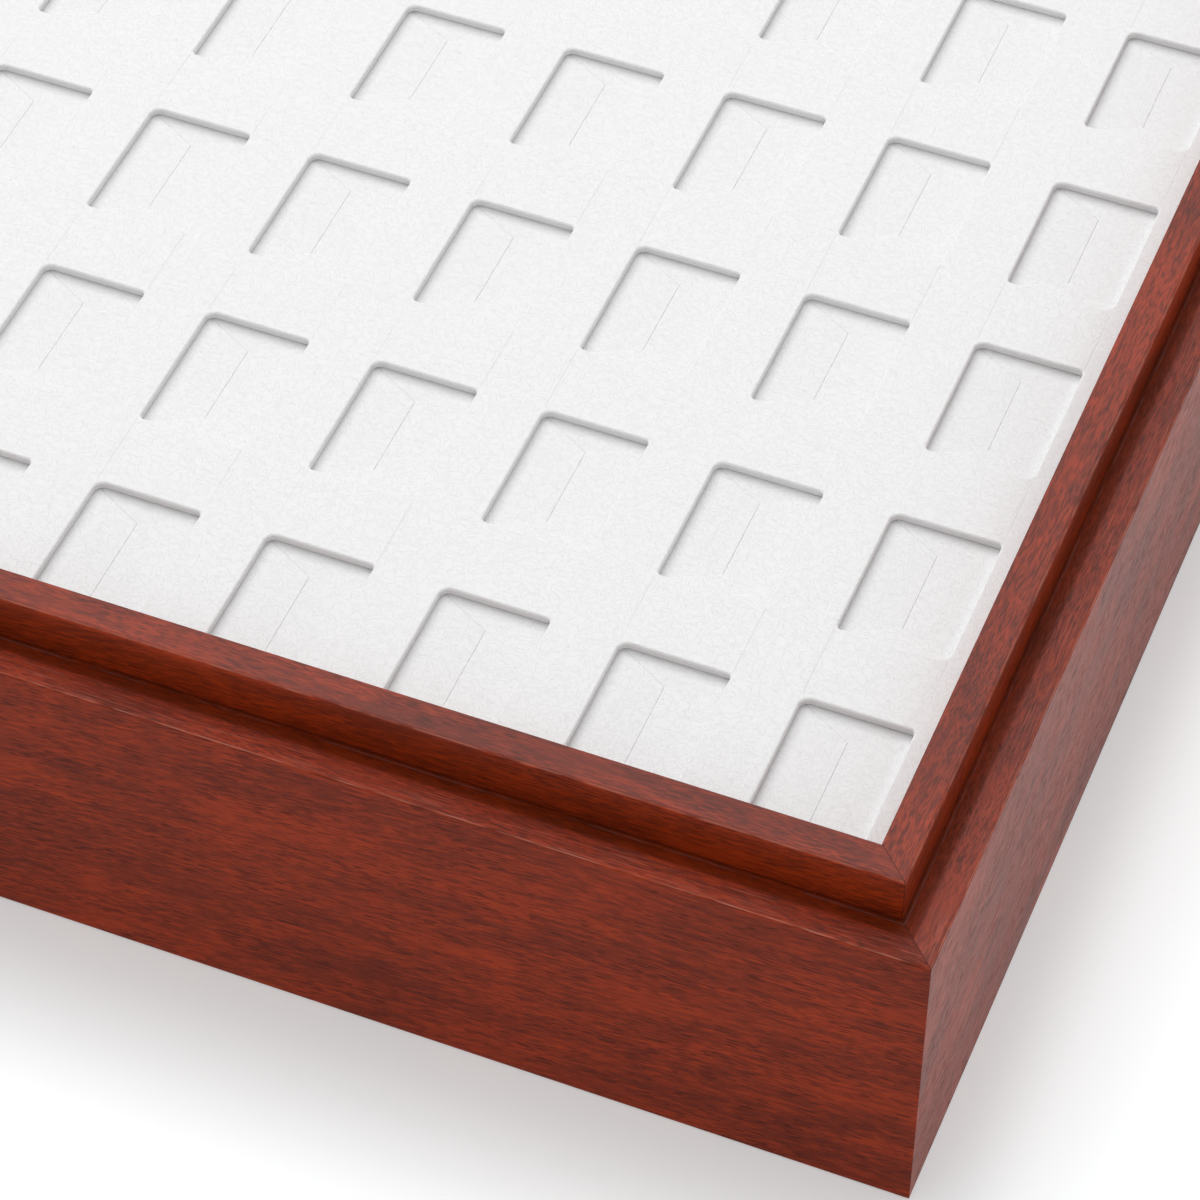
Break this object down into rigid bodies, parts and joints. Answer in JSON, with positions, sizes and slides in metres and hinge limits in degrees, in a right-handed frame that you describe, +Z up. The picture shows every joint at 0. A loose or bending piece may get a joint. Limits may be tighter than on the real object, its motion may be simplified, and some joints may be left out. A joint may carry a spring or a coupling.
{
  "type": "ring display tray",
  "caption": "Stackable mitred hardwood tray with a stepped lip, holding a lift-out white leatherette pad with a grid of slit ring pockets.",
  "frame": {"origin": "centre of the tray's footprint, on the table", "axes": "+X along the front rail to the right, +Y away from the front, +Z up"},
  "size_m": [0.2744, 0.2264, 0.0575],
  "materials": {
    "rail_wood": "satin lacquer over red-brown mahogany",
    "spline_wood": "plain sawn",
    "panel_plywood": "thin plywood, lacquered",
    "board": "grey pressed board",
    "skin": "matte white leatherette",
    "sheet": "matte white leatherette on a thin backing",
    "foam": "stiff white foam"
  },
  "bodies": {
    "frame": {"front_rail": "rail_wood", "back_rail": "rail_wood", "left_rail": "rail_wood", "right_rail": "rail_wood", "spline_front_left": "spline_wood", "spline_front_right": "spline_wood", "spline_back_left": "spline_wood", "spline_back_right": "spline_wood", "bottom_panel": "panel_plywood"},
    "ring_pad": {"backing_board": "board", "side_wrap": "skin", "long_strips": "foam", "cross_strips": "foam", "end_strips": "foam", "slit_sheet": "sheet", "pocket_board": "board", "top_skin": "skin"},
    "flaps_left_1": {"flaps_left_1": "sheet"},
    "flaps_left_2": {"flaps_left_2": "sheet"},
    "flaps_left_3": {"flaps_left_3": "sheet"},
    "flaps_left_4": {"flaps_left_4": "sheet"},
    "flaps_left_5": {"flaps_left_5": "sheet"},
    "flaps_left_6": {"flaps_left_6": "sheet"},
    "flaps_left_7": {"flaps_left_7": "sheet"},
    "flaps_left_8": {"flaps_left_8": "sheet"},
    "flaps_left_9": {"flaps_left_9": "sheet"},
    "flaps_left_10": {"flaps_left_10": "sheet"},
    "flaps_right_1": {"flaps_right_1": "sheet"},
    "flaps_right_2": {"flaps_right_2": "sheet"},
    "flaps_right_3": {"flaps_right_3": "sheet"},
    "flaps_right_4": {"flaps_right_4": "sheet"},
    "flaps_right_5": {"flaps_right_5": "sheet"},
    "flaps_right_6": {"flaps_right_6": "sheet"},
    "flaps_right_7": {"flaps_right_7": "sheet"},
    "flaps_right_8": {"flaps_right_8": "sheet"},
    "flaps_right_9": {"flaps_right_9": "sheet"},
    "flaps_right_10": {"flaps_right_10": "sheet"}
  },
  "joints": [
    {"name": "pad_lift", "type": "slide", "parent": "frame", "child": "ring_pad", "axis": [0, 0, 1], "range_m": [0, 0.036]},
    {"name": "flaps_left_1_bend", "type": "hinge", "parent": "ring_pad", "child": "flaps_left_1", "pos_m": [-0.12255, 0, 0.04805], "axis": [0, 1, 0], "range_deg": [0, 65], "stiffness_Nm_per_rad": 0.02},
    {"name": "flaps_left_2_bend", "type": "hinge", "parent": "ring_pad", "child": "flaps_left_2", "pos_m": [-0.09705, 0, 0.04805], "axis": [0, 1, 0], "range_deg": [0, 65], "stiffness_Nm_per_rad": 0.02},
    {"name": "flaps_left_3_bend", "type": "hinge", "parent": "ring_pad", "child": "flaps_left_3", "pos_m": [-0.07155, 0, 0.04805], "axis": [0, 1, 0], "range_deg": [0, 65], "stiffness_Nm_per_rad": 0.02},
    {"name": "flaps_left_4_bend", "type": "hinge", "parent": "ring_pad", "child": "flaps_left_4", "pos_m": [-0.04605, 0, 0.04805], "axis": [0, 1, 0], "range_deg": [0, 65], "stiffness_Nm_per_rad": 0.02},
    {"name": "flaps_left_5_bend", "type": "hinge", "parent": "ring_pad", "child": "flaps_left_5", "pos_m": [-0.02055, 0, 0.04805], "axis": [0, 1, 0], "range_deg": [0, 65], "stiffness_Nm_per_rad": 0.02},
    {"name": "flaps_left_6_bend", "type": "hinge", "parent": "ring_pad", "child": "flaps_left_6", "pos_m": [0.00495, 0, 0.04805], "axis": [0, 1, 0], "range_deg": [0, 65], "stiffness_Nm_per_rad": 0.02},
    {"name": "flaps_left_7_bend", "type": "hinge", "parent": "ring_pad", "child": "flaps_left_7", "pos_m": [0.03045, 0, 0.04805], "axis": [0, 1, 0], "range_deg": [0, 65], "stiffness_Nm_per_rad": 0.02},
    {"name": "flaps_left_8_bend", "type": "hinge", "parent": "ring_pad", "child": "flaps_left_8", "pos_m": [0.05595, 0, 0.04805], "axis": [0, 1, 0], "range_deg": [0, 65], "stiffness_Nm_per_rad": 0.02},
    {"name": "flaps_left_9_bend", "type": "hinge", "parent": "ring_pad", "child": "flaps_left_9", "pos_m": [0.08145, 0, 0.04805], "axis": [0, 1, 0], "range_deg": [0, 65], "stiffness_Nm_per_rad": 0.02},
    {"name": "flaps_left_10_bend", "type": "hinge", "parent": "ring_pad", "child": "flaps_left_10", "pos_m": [0.10695, 0, 0.04805], "axis": [0, 1, 0], "range_deg": [0, 65], "stiffness_Nm_per_rad": 0.02},
    {"name": "flaps_right_1_bend", "type": "hinge", "parent": "ring_pad", "child": "flaps_right_1", "pos_m": [-0.10695, 0, 0.04805], "axis": [0, -1, 0], "range_deg": [0, 65], "stiffness_Nm_per_rad": 0.02},
    {"name": "flaps_right_2_bend", "type": "hinge", "parent": "ring_pad", "child": "flaps_right_2", "pos_m": [-0.08145, 0, 0.04805], "axis": [0, -1, 0], "range_deg": [0, 65], "stiffness_Nm_per_rad": 0.02},
    {"name": "flaps_right_3_bend", "type": "hinge", "parent": "ring_pad", "child": "flaps_right_3", "pos_m": [-0.05595, 0, 0.04805], "axis": [0, -1, 0], "range_deg": [0, 65], "stiffness_Nm_per_rad": 0.02},
    {"name": "flaps_right_4_bend", "type": "hinge", "parent": "ring_pad", "child": "flaps_right_4", "pos_m": [-0.03045, 0, 0.04805], "axis": [0, -1, 0], "range_deg": [0, 65], "stiffness_Nm_per_rad": 0.02},
    {"name": "flaps_right_5_bend", "type": "hinge", "parent": "ring_pad", "child": "flaps_right_5", "pos_m": [-0.00495, 0, 0.04805], "axis": [0, -1, 0], "range_deg": [0, 65], "stiffness_Nm_per_rad": 0.02},
    {"name": "flaps_right_6_bend", "type": "hinge", "parent": "ring_pad", "child": "flaps_right_6", "pos_m": [0.02055, 0, 0.04805], "axis": [0, -1, 0], "range_deg": [0, 65], "stiffness_Nm_per_rad": 0.02},
    {"name": "flaps_right_7_bend", "type": "hinge", "parent": "ring_pad", "child": "flaps_right_7", "pos_m": [0.04605, 0, 0.04805], "axis": [0, -1, 0], "range_deg": [0, 65], "stiffness_Nm_per_rad": 0.02},
    {"name": "flaps_right_8_bend", "type": "hinge", "parent": "ring_pad", "child": "flaps_right_8", "pos_m": [0.07155, 0, 0.04805], "axis": [0, -1, 0], "range_deg": [0, 65], "stiffness_Nm_per_rad": 0.02},
    {"name": "flaps_right_9_bend", "type": "hinge", "parent": "ring_pad", "child": "flaps_right_9", "pos_m": [0.09705, 0, 0.04805], "axis": [0, -1, 0], "range_deg": [0, 65], "stiffness_Nm_per_rad": 0.02},
    {"name": "flaps_right_10_bend", "type": "hinge", "parent": "ring_pad", "child": "flaps_right_10", "pos_m": [0.12255, 0, 0.04805], "axis": [0, -1, 0], "range_deg": [0, 65], "stiffness_Nm_per_rad": 0.02}
  ]
}
